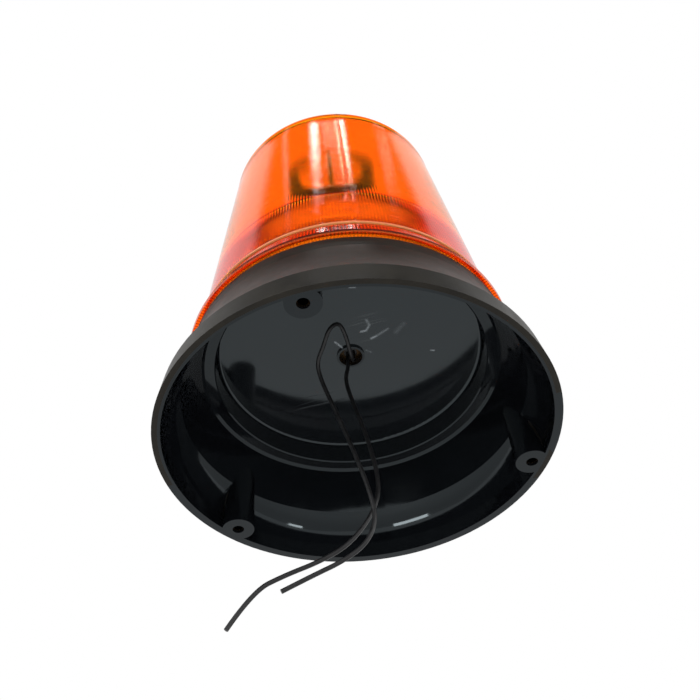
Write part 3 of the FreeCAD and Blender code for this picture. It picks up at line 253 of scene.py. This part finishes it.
def base_material():
    """Black moulding: mirror-like inside the bell, satin brown-black outside, with scuffs on the deck."""
    shader = Shader("base_plastic")
    place = shader.place()
    geometry = shader.add("ShaderNodeNewGeometry")
    flat = shader.vector("MULTIPLY", place, (1, 1, 0)).outputs[0]
    outward = shader.vector("DOT_PRODUCT", flat, geometry.outputs["True Normal"]).outputs["Value"]
    reach = shader.add("ShaderNodeVectorMath", {0: flat}, operation="LENGTH").outputs["Value"]
    up = shader.split(place)["Z"]
    line = shader.math("MULTIPLY_ADD", up, SKIN_SLOPE, SKIN_RADIUS)
    outside = shader.math("MULTIPLY", shader.math("GREATER_THAN", outward, 0.0),
                          shader.math("GREATER_THAN", reach, line))
    flow = shader.noise(28.0, 5.0, 0.6, stretch=(1, 1, 0.3))
    wear = shader.noise(70.0, 8.0, 0.7)
    satin = shader.blend(shader.spread(wear, 0.0, 1.0), colour(0.012, 0.011, 0.0095),
                         colour(0.026, 0.023, 0.018))
    gloss = shader.blend(shader.spread(flow, 0.0, 1.0), colour(0.0035, 0.004, 0.005),
                         colour(0.006, 0.007, 0.009))
    marks = shader.math("MULTIPLY", scratches(shader, 240.0, 28, (0.12, 2.2, 1)),
                        near(shader, (-22, 30, 30), 30))
    more = shader.math("MULTIPLY", scratches(shader, 320.0, -61, (0.1, 2.6, 1)),
                       near(shader, (12, -14, DECK_LEVEL), 11))
    marks = shader.math("MAXIMUM", marks, more)
    frayed = shader.spread(shader.noise(650.0, 6.0, 0.75, distortion=1.8), 0.25, 1.0, 0.36, 0.54)
    whitened = 0.0
    for start, end, width, strength in STRESS_MARKS:
        mark = stroke(shader, (*start, DECK_LEVEL), (*end, DECK_LEVEL), width)
        whitened = shader.math("MAXIMUM", whitened, shader.math("MULTIPLY", mark, strength))
    whitened = shader.math("MULTIPLY", whitened, frayed)
    gloss = shader.blend(whitened, gloss, colour(0.42, 0.46, 0.49))
    gloss = shader.blend(shader.math("MULTIPLY", marks, 0.18), gloss, colour(0.2, 0.21, 0.22))
    deck = shader.math("MULTIPLY", shader.math("GREATER_THAN", up, (DECK_LEVEL - 0.5) * MM),
                       shader.math("LESS_THAN", reach, DECK_RADIUS * MM))
    smear = shader.spread(shader.noise(45.0, 6.0, 0.7, distortion=0.8), 0.04, 0.12, 0.35, 0.8)
    hazy = shader.spread(shader.noise(60.0, 6.0, 0.7, distortion=0.8), 0.05, 0.11)
    rough_inside = shader.math("ADD", shader.mix(deck, smear, hazy), shader.math("MULTIPLY", whitened, 0.3))
    gate = near(shader, GATE_MARK, GATE_RADIUS)
    inside = shader.blend(gate, gloss, colour(0.001, 0.001, 0.001))
    shader.set(Base_Color=shader.blend(outside, inside, satin),
               Roughness=shader.mix(outside, rough_inside, shader.spread(wear, 0.34, 0.48)), IOR=1.5,
               Specular_IOR_Level=shader.mix(outside, shader.mix(deck, 0.5, 0.76), 0.22),
               Specular_Tint=shader.blend(outside, colour(0.82, 0.95, 1.0), colour(1.0, 0.94, 0.84)))
    ripple = shader.bump(shader.noise(26.0, 2.0, 0.4), 0.00012, 0.6)
    grain = shader.bump(shader.math("MULTIPLY", shader.noise(1500.0, 3.0), outside), 0.00003, 1.0, ripple)
    shader.set(Normal=shader.bump(marks, 0.00002, 1.0, grain))
    return shader.material


def lens_material():
    """Clear amber moulding with faint flow waves, fine dust and a redder ribbed band, and a painted highlight
    on the bead, which is painted pale and made mostly opaque to show as a bright line.
    """
    shader = Shader("amber_lens")
    split = shader.split(shader.place())
    up = split["Z"]
    turn = shader.math("ARCTAN2", split["Y"], split["X"])
    ridge = shader.math("ABSOLUTE", shader.math("SINE", shader.math("MULTIPLY", turn, RIB_COUNT / 2)))
    waves = shader.noise(22.0, 3.0, 0.5, stretch=(1, 1, 0.12))
    dust = shader.noise(700.0, 5.0, 0.7)
    turned = shader.noise(70.0, 4.0, 0.6, stretch=(0.25, 0.25, 22.0))
    band = shader.math("LESS_THAN", up, BAND_TOP * MM)
    bead = shader.math("ABSOLUTE", shader.math("SUBTRACT", up, BEAD_LEVEL * MM))
    bead = shader.spread(bead, 0.75, 0.0, 0.0005, 0.0009)
    ribs = shader.blend(ridge, colour(0.32, 0.02, 0.0005), colour(0.96, 0.105, 0.002))
    tone = shader.blend(band, colour(1.0, 0.31, 0.004), ribs)
    # Painted highlight: the bead is painted pale salmon and made mostly opaque, so it shows as a bright line.
    painted_bead_highlight = shader.math("GREATER_THAN", bead, 0.01)
    shader.set(Base_Color=shader.blend(painted_bead_highlight, tone, colour(1.0, 0.36, 0.16)), IOR=1.4)
    shader.set(Transmission_Weight=shader.math("SUBTRACT", 1.0, bead))
    shader.set(Roughness=shader.spread(dust, 0.015, 0.10, 0.45, 0.8))
    shader.set(Normal=shader.bump(turned, 0.00008, 0.5, shader.bump(waves, 0.0002, 0.5)))
    return shader.material


def glass_material():
    shader = Shader("bulb_glass")
    smoke = shader.noise(60.0, 3.0)
    shader.set(Base_Color=colour(0.97, 0.98, 0.99), Transmission_Weight=1.0, IOR=1.5)
    shader.set(Roughness=shader.spread(smoke, 0.0, 0.03))
    return shader.material


def mirror_material():
    """Metallised plastic with specks where the coating is thin, and painted shade on its edge, rib and foot,
    which are made dark, dull and unmetallised in place of the dark that the mirror reflects there.
    """
    shader = Shader("reflector_mirror")
    haze = shader.noise(50.0, 6.0, 0.6)
    specks = shader.spread(shader.noise(700.0, 2.0), 0.0, 1.0, 0.68, 0.74)
    turned = shader.add("ShaderNodeMapping", {
        "Vector": shader.place(), "Rotation": (0, 0, math.radians(-REST_TURN)),
    }).outputs[0]
    split = shader.split(turned)
    across = shader.math("ABSOLUTE", split["X"])
    raised = shader.math("SUBTRACT", split["Z"], REFLECTOR_CENTRE * MM)
    height = shader.math("ABSOLUTE", raised)
    corner = shader.math("ADD", across, shader.math("MULTIPLY", height, CORNER_SLOPE))
    shoulder = shader.math("ADD", across, shader.math("MULTIPLY", raised, CORNER_SLOPE))
    uneven = shader.math("MULTIPLY", shader.noise(90.0, 3.0, 0.6), PAINTED_DARK_UNEVEN)
    masks = [shader.spread(shader.math("ADD", distance, uneven), 0.0, 1.0, *limits)
             for distance, limits in ((across, PAINTED_DARK_SIDE), (corner, PAINTED_DARK_CORNER), (height, PAINTED_DARK_END),
                                      (shoulder, PAINTED_DARK_SHOULDER), (raised, PAINTED_DARK_TOP))]
    # Painted shade: the edge, rib and foot are painted dark and unmetallised, standing in for dark
    # reflections.
    painted_dark = shader.most(*masks, shader.spread(across, 1.0, 0.0, *PAINTED_DARK_RIB))
    silver = shader.blend(specks, colour(0.74, 0.74, 0.75), colour(0.2, 0.19, 0.18))
    shader.set(Base_Color=shader.blend(painted_dark, silver, colour(0.03, 0.02, 0.016)),
               Metallic=shader.math("SUBTRACT", 1.0, painted_dark), Roughness=shader.spread(haze, 0.05, 0.2),
               Specular_IOR_Level=shader.mix(painted_dark, 0.5, 0.0))
    shader.set(Normal=shader.bump(shader.noise(120.0, 3.0), 0.00006, 0.5))
    return shader.material


def brass_material():
    """Turned brass, bright inside the lens and painted nearly black, as painted shade, where it shows down in
    the bell.
    """
    shader = metal("brass", colour(0.68, 0.46, 0.17), 0.26, (0.4, 0.4, 6.0), 0.00002,
                   tarnish=colour(0.30, 0.17, 0.06))
    up = shader.split(shader.place())["Z"]
    bright = shader.surface.inputs["Base Color"].links[0].from_socket
    # Painted shade: under the lens the post is painted nearly black in dark brown blotches, for the shade
    # down in the deck's hole.
    stain_and_painted_shade = shader.blend(shader.spread(shader.noise(420.0, 5.0, 0.7), 0.0, 1.0),
                         colour(0.012, 0.010, 0.008), colour(0.075, 0.042, 0.018))
    shader.set(Base_Color=shader.blend(shader.math("LESS_THAN", up, PAINTED_SHADE_LEVEL), bright, stain_and_painted_shade))
    return shader.material


def rubber_material():
    shader = Shader("seal_rubber")
    bloom = shader.noise(120.0, 6.0, 0.7)
    shader.set(Base_Color=shader.blend(shader.spread(bloom, 0.0, 1.0), colour(0.018, 0.018, 0.018),
                                       colour(0.045, 0.044, 0.042)),
               Roughness=shader.spread(bloom, 0.65, 0.9))
    shader.set(Normal=shader.bump(shader.noise(1600.0, 3.0), 0.00005))
    return shader.material


def lead_material():
    """Black insulation, slightly shiny, with a dusty bloom and the faint waves of the strands under it."""
    shader = Shader("lead_black")
    bloom = shader.noise(260.0, 5.0, 0.65)
    shader.set(Base_Color=shader.blend(shader.spread(bloom, 0.0, 1.0), colour(0.006, 0.006, 0.007),
                                       colour(0.02, 0.02, 0.021)),
               Roughness=shader.spread(bloom, 0.28, 0.46))
    shader.set(Normal=shader.bump(shader.noise(1400.0, 3.0), 0.00004))
    return shader.material


def armature_material():
    """Copper windings round laminated iron: turns as fine bands across the stack."""
    shader = Shader("armature_iron")
    height = shader.split(shader.place())["Z"]
    turns = shader.math("SINE", shader.math("MULTIPLY", height, 14000.0))
    enamel = shader.noise(300.0, 4.0)
    shader.set(Base_Color=shader.blend(shader.spread(enamel, 0.0, 1.0), colour(0.42, 0.16, 0.06),
                                       colour(0.26, 0.10, 0.045)),
               Metallic=0.8, Roughness=shader.spread(enamel, 0.25, 0.5))
    shader.set(Normal=shader.bump(turns, 0.00012, 0.8))
    return shader.material


def filament_material():
    shader = Shader("filament")
    across = shader.split(shader.place())["X"]
    coils = shader.math("SINE", shader.math("MULTIPLY", across, 16000.0))
    tint = shader.noise(900.0, 3.0)
    shader.set(Base_Color=shader.blend(tint, colour(0.5, 0.5, 0.52), colour(0.3, 0.3, 0.32)),
               Metallic=1.0, Roughness=shader.spread(tint, 0.25, 0.45))
    shader.set(Normal=shader.bump(coils, 0.00015, 1.0))
    return shader.material


def make_materials():
    return {
        "base_plastic": base_material(),
        "amber_lens": lens_material(),
        "seal_rubber": rubber_material(),
        "brass": brass_material(),
        "zinc_steel": metal("zinc_steel", colour(0.56, 0.57, 0.58), 0.3, (1, 1, 3.0),
                            tarnish=colour(0.36, 0.35, 0.33)).material,
        "motor_plastic": moulded("motor_plastic", colour(0.022, 0.022, 0.024), 0.5).material,
        "magnet": moulded("magnet", colour(0.07, 0.07, 0.075), 0.62, 1400.0, 0.00006, 0.15, 0.5).material,
        "armature_iron": armature_material(),
        "bronze": metal("bronze", colour(0.46, 0.27, 0.12), 0.42, None, 0.00003).material,
        "gear_nylon": moulded("gear_nylon", colour(0.74, 0.71, 0.62), 0.42, 700.0, 0.00002, 0.1,
                              0.08).material,
        "carrier_plastic": moulded("carrier_plastic", colour(0.02, 0.02, 0.022), 0.38).material,
        "reflector_mirror": mirror_material(),
        "bulb_glass": glass_material(),
        "filament": filament_material(),
        "lead_black": lead_material(),
    }


def smooth(piece, angle=32.0):
    """Shades a mesh smooth except across its sharp edges."""
    for polygon in piece.data.polygons:
        polygon.use_smooth = True
    limit = math.radians(angle)
    mesh = piece.data
    edge_faces = {}
    for polygon in mesh.polygons:
        for key in polygon.edge_keys:
            edge_faces.setdefault(key, []).append(polygon.normal)
    for edge in mesh.edges:
        normals = edge_faces.get(tuple(sorted(edge.vertices)), [])
        if len(normals) == 2 and normals[0].angle(normals[1], 0.0) > limit:
            edge.use_edge_sharp = True
    return piece


def dress_nodes(materials):
    """Gives every node the material of its slot in the record."""
    for row in frame["record"]["subparts"]:
        node = frame["nodes"][row["node"]]
        node.data.materials.clear()
        node.data.materials.append(materials[row["material_slot"]])


def arc_points(start, end, rise, count):
    """Points after start up to end on an arc that bulges by rise to the right of the way."""
    chord = Vector(end) - Vector(start)
    side = Vector((chord.y, -chord.x)).normalized()
    half = chord.length / 2
    radius = (half ** 2 + rise ** 2) / (2 * abs(rise))
    points = []
    for index in range(1, count + 1):
        share = index / count
        along = (share - 0.5) * chord.length
        depth = math.sqrt(max(0.0, radius ** 2 - along ** 2)) - (radius - abs(rise))
        points.append(tuple(Vector(start) + chord * share + side * math.copysign(depth, rise)))
    return points


def wall_radius(height):
    slope = (BEAD_RADIUS - TOP_RADIUS) / (TOP_LEVEL - BEAD_LEVEL)
    return BEAD_RADIUS - slope * (height - BEAD_LEVEL)


def straight(start, end, count):
    return [tuple(Vector(start).lerp(Vector(end), index / count)) for index in range(1, count + 1)]


def lens_profile():
    """Outline of the lens from its foot up the outside and down the inside, with a kind for each point."""
    low, high = BEAD_LEVEL - BEAD_SIZE, BEAD_LEVEL + BEAD_SIZE
    edge = TOP_LEVEL - EDGE
    crown_edge = wall_radius(edge) - EDGE
    under = TOP_LEVEL - WALL
    outside = [(FOOT_RADIUS, FOOT_LOW), (FOOT_RADIUS, FOOT_HIGH - FOOT_ROUND),
               (FOOT_RADIUS - FOOT_ROUND, FOOT_HIGH), (SKIRT_RADIUS + FOOT_ROUND, FOOT_HIGH),
               (SKIRT_RADIUS, FOOT_HIGH + SKIRT_RISE)]
    outside += straight(outside[-1], (BEAD_RADIUS, low), 3)
    outside += arc_points(outside[-1], (BEAD_RADIUS, high), BEAD_PROUD, 8)
    outside += straight(outside[-1], (wall_radius(edge), edge), 12)
    outside += arc_points(outside[-1], (crown_edge, TOP_LEVEL), EDGE_ROUND, 8)
    outside += arc_points(outside[-1], (CENTRE_RADIUS, TOP_LEVEL + CROWN), CROWN_ROUND, 8)
    inside = [(CENTRE_RADIUS, under + CROWN)]
    inside += straight(inside[-1], (TOP_RADIUS - WALL * 2, under), 4)
    inside.append((wall_radius(under - UNDER_DROP) - WALL, under - UNDER_DROP))
    clear = BAND_TOP + BAND_SLOPE
    inside += straight(inside[-1], (wall_radius(clear) - WALL, clear), 10)
    ribbed = [(wall_radius(BAND_TOP) - WALL - BAND_DEPTH, BAND_TOP)]
    ribbed += straight(ribbed[-1], (wall_radius(high) - WALL - BAND_DEPTH, high), 3)
    foot = [(BEAD_RADIUS - WALL, low), (SKIRT_RADIUS - WALL, FOOT_HIGH)]
    bore = [(BORE_RADIUS, FOOT_HIGH), (BORE_RADIUS, FOOT_LOW)]
    return ([(point, "outer") for point in outside] + [(point, "plain") for point in inside]
            + [(point, "ribbed") for point in ribbed] + [(point, "plain") for point in foot]
            + [(point, "bore") for point in bore])


def rib_depth(step):
    """How far the inside stands back between two ribs: each rib is a rounded ridge."""
    return BAND_DEPTH * (0.5 - 0.5 * math.cos(2 * math.pi * step / STEPS_PER_RIB))


def lens_radius(kind, radius, step, count):
    angle = 360.0 * step / count
    if kind == "ribbed":
        return radius + rib_depth(step)
    if kind == "bore":
        half = math.degrees(KEY_WIDTH / 2 / KEY_RADIUS)
        apart = 360.0 / KEY_COUNT
        return KEY_RADIUS if min(angle % apart, apart - angle % apart) <= half else radius
    if kind == "outer" and radius > 1:
        away = abs((angle - SEAM_ANGLE) % 180.0)
        away = min(away, 180.0 - away)
        return radius + SEAM_PROUD * max(0.0, 1 - away / SEAM_HALF_ANGLE) - SEAM_PROUD
    return radius


def make_lens(material):
    """The amber dome turned from its outline, with fine ribs inside its band and a parting line."""
    profile = lens_profile()
    count = RIB_COUNT * STEPS_PER_RIB
    vertices = []
    for (radius, height), kind in profile:
        for step in range(count):
            angle = 2 * math.pi * step / count
            reach = lens_radius(kind, radius, step, count) * MM
            vertices.append((reach * math.cos(angle), reach * math.sin(angle), height * MM))
    faces = []
    rows = len(profile)
    crown = next(index for index, (_, kind) in enumerate(profile) if kind == "plain")
    for row in range(rows):
        following = (row + 1) % rows
        if following == crown:
            continue
        for step in range(count):
            after = (step + 1) % count
            faces.append((row * count + step, row * count + after, following * count + after,
                          following * count + step))
    for row, order in ((crown - 1, 1), (crown, -1)):
        centre = len(vertices)
        vertices.append((0, 0, profile[row][0][1] * MM))
        for step in range(count):
            pair = (row * count + step, row * count + (step + 1) % count)[::order]
            faces.append((pair[0], pair[1], centre))
    mesh = bpy.data.meshes.new("lens_dome")
    mesh.from_pydata(vertices, [], faces)
    mesh.validate()
    piece = bpy.data.objects.new("lens_dome", mesh)
    scene.collection.objects.link(piece)
    smooth(piece, 40.0)
    mesh.materials.append(material)
    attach(piece, "lens_cover")
    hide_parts("lens")
    return piece


def make_lead(name, material):
    """A free lead as one smooth curve along its route."""
    curve = bpy.data.curves.new(name + "_cable", "CURVE")
    curve.dimensions = "3D"
    curve.bevel_depth = LEAD_DIAMETER * MM / 2
    curve.bevel_resolution = 6
    curve.resolution_u = 14
    curve.use_fill_caps = True
    spline = curve.splines.new("NURBS")
    route = LEAD_ROUTES[name]
    spline.points.add(len(route) - 1)
    for point, (x, y, z) in zip(spline.points, route):
        point.co = (x * MM, y * MM, (GROMMET_FACE + z) * MM, 1.0)
    spline.order_u = 3
    spline.use_endpoint_u = True
    piece = bpy.data.objects.new(name + "_cable", curve)
    scene.collection.objects.link(piece)
    curve.materials.append(material)
    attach(piece, "base")
    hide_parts(name)
    piece.visible_glossy = False
    x, y, z = route[0]
    return piece


def make_camera():
    data = bpy.data.cameras.new("camera")
    data.lens = FOCAL_LENGTH
    data.sensor_width = SENSOR
    data.clip_start = 0.005
    camera = bpy.data.objects.new("camera", data)
    scene.collection.objects.link(camera)
    axes = (Vector(CAMERA_RIGHT), -Vector(CAMERA_DOWN), -Vector(CAMERA_FORWARD))
    turning = Matrix(axes).transposed().to_4x4()
    camera.matrix_world = Matrix.Translation(CAMERA_PLACE) @ turning
    scene.camera = camera


def area_light(name, place, target, width, height, radiance, along=(0, 0, 1)):
    """A rectangular lamp that faces a target, given by its brightness and the way that its height runs."""
    data = bpy.data.lights.new(name, "AREA")
    data.shape = "RECTANGLE"
    data.size, data.size_y = width, height
    data.energy = radiance * math.pi * width * height
    lamp = bpy.data.objects.new(name, data)
    scene.collection.objects.link(lamp)
    back = (Vector(place) - Vector(target)).normalized()
    across = Vector(along).cross(back).normalized()
    turning = Matrix((across, back.cross(across), back)).transposed().to_4x4()
    lamp.matrix_world = Matrix.Translation(place) @ turning


def make_lights():
    """A broad soft key from the front left, a weaker one from the right, ceiling lamps that the lens
    mirrors as streaks, and two low windows that the bell's flare mirrors."""
    middle = (0, 0, 0.08)
    area_light("key", (-0.55, -0.85, 0.55), middle, 0.6, 0.6, 2.2)
    area_light("fill", (0.9, -0.35, 0.35), middle, 0.5, 0.7, 1.4)
    lens_front = Vector((0.010, -0.057, 0.138))
    for name, direction, width, height, radiance, along in (
            ("ceiling_left", (-0.062, -0.245, 0.967), 0.050, 0.070, 16.0, (0.7, 0.7, 0)),
            ("ceiling_right", (0.150, -0.212, 0.965), 0.065, 0.050, 16.0, (-0.3, 0.9, 0)),
            ("ceiling_middle", (0.082, -0.216, 1.0), 0.17, 0.030, 5.5, (-0.325, 0.945, 0)),
            ("strip_left", (-0.290, -0.170, 0.942), 0.020, 0.20, 1.2, (0, 1, 0)),
            ("strip_right", (0.376, 0.020, 0.925), 0.026, 0.14, 1.4, (0, 1, 0))):
        area_light(name, lens_front + Vector(direction), lens_front, width, height, radiance, along)
    for name, spot, direction, width, height in (
            ("window_right", (0.0055, 0.0789, 0.0142), (-0.234, -0.950, -0.207), 0.34, 0.07),
            ("window_left", (-0.0476, 0.0632, 0.0142), (0.789, -0.588, -0.177), 0.13, 0.05)):
        area_light(name, Vector(spot) + Vector(direction), spot, width, height, 9.0)


def make_world():
    """Even soft light. The camera and glass see white. Mirrors see a white sheet below and behind, which
    ends along a line overhead, and a dim ceiling in front of that line."""
    world = bpy.data.worlds.new("studio")
    world.use_nodes = True
    scene.world = world
    nodes, links = world.node_tree.nodes, world.node_tree.links
    background = nodes["Background"]
    background.inputs["Color"].default_value = colour(1, 1, 1)

    def joined(operation, first, second):
        node = nodes.new("ShaderNodeMath")
        node.operation = operation
        for socket, value in zip(node.inputs, (first, second)):
            if isinstance(value, bpy.types.NodeSocket):
                links.new(value, socket)
            else:
                socket.default_value = value
        return node.outputs[0]

    def faded(source, limits):
        node = nodes.new("ShaderNodeMapRange")
        links.new(source, node.inputs["Value"])
        for socket, value in zip(("From Min", "From Max", "To Min", "To Max"), limits):
            node.inputs[socket].default_value = value
        return node.outputs["Result"]

    rays = nodes.new("ShaderNodeLightPath").outputs
    direction = nodes.new("ShaderNodeTexCoord").outputs["Generated"]
    split = nodes.new("ShaderNodeSeparateXYZ")
    links.new(direction, split.inputs[0])
    edge = nodes.new("ShaderNodeVectorMath")
    edge.operation = "DOT_PRODUCT"
    edge.inputs[1].default_value = SHEET_SIDE
    links.new(direction, edge.inputs[0])
    overhead = joined("MAXIMUM", faded(edge.outputs["Value"], SHEET_FADE),
                      faded(split.outputs["Z"], CEILING_FADE))
    strength = joined("MULTIPLY", rays["Is Glossy Ray"], overhead)
    through = joined("MULTIPLY", rays["Transmission Depth"], SEEN_THROUGH_GLASS)
    through = joined("MINIMUM", through, SEEN_THROUGH_GLASS)
    ambient = joined("MULTIPLY", rays["Is Diffuse Ray"], AMBIENT)
    for seen in (rays["Is Camera Ray"], through, ambient):
        strength = joined("MAXIMUM", strength, seen)
    links.new(strength, background.inputs["Strength"])


def make_floor():
    """Plain pale floor, well below the hanging leads."""
    corners = [(x * FLOOR_HALF, y * FLOOR_HALF, 0) for x, y in ((-1, -1), (1, -1), (1, 1), (-1, 1))]
    mesh = bpy.data.meshes.new("floor")
    mesh.from_pydata(corners, [], [(0, 1, 2, 3)])
    floor = bpy.data.objects.new("floor", mesh)
    floor.location.z = FLOOR_LEVEL
    scene.collection.objects.link(floor)
    shader = Shader("floor")
    shader.set(Base_Color=colour(0.86, 0.86, 0.86), Roughness=shader.spread(shader.noise(3.0), 0.7, 0.9))
    mesh.materials.append(shader.material)


make_camera()
make_world()
make_lights()
make_floor()
materials = make_materials()
dress_nodes(materials)
for node in frame["nodes"].values():
    smooth(node)
for lead in LEAD_ROUTES:
    make_lead(lead, materials["lead_black"])
make_lens(materials["amber_lens"])

bpy.context.view_layer.update()
